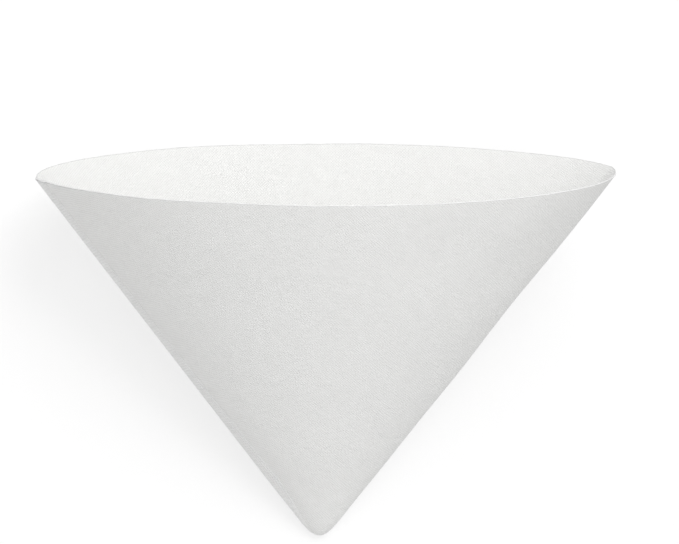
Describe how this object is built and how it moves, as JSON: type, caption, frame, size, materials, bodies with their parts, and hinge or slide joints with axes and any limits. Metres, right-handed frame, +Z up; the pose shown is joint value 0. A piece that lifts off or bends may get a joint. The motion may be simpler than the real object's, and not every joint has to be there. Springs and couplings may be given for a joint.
{
  "type": "fryer oil filter cone",
  "caption": "Wide cone of thin white nonwoven, open at the mouth and closed at its blunt tip, with a lapped seam down one crease, for straining hot frying oil.",
  "frame": {"origin": "centre of the footprint, on the surface that the cone's back wall lies on", "axes": "+X from the seam's crease to the plain crease, +Y from the tip to the mouth, +Z up from the back wall that it lies on"},
  "size_m": [0.3124, 0.2128, 0.1594],
  "materials": {
    "nonwoven": "matte"
  },
  "bodies": {
    "root": {"filter_cone": "nonwoven"}
  },
  "joints": []
}
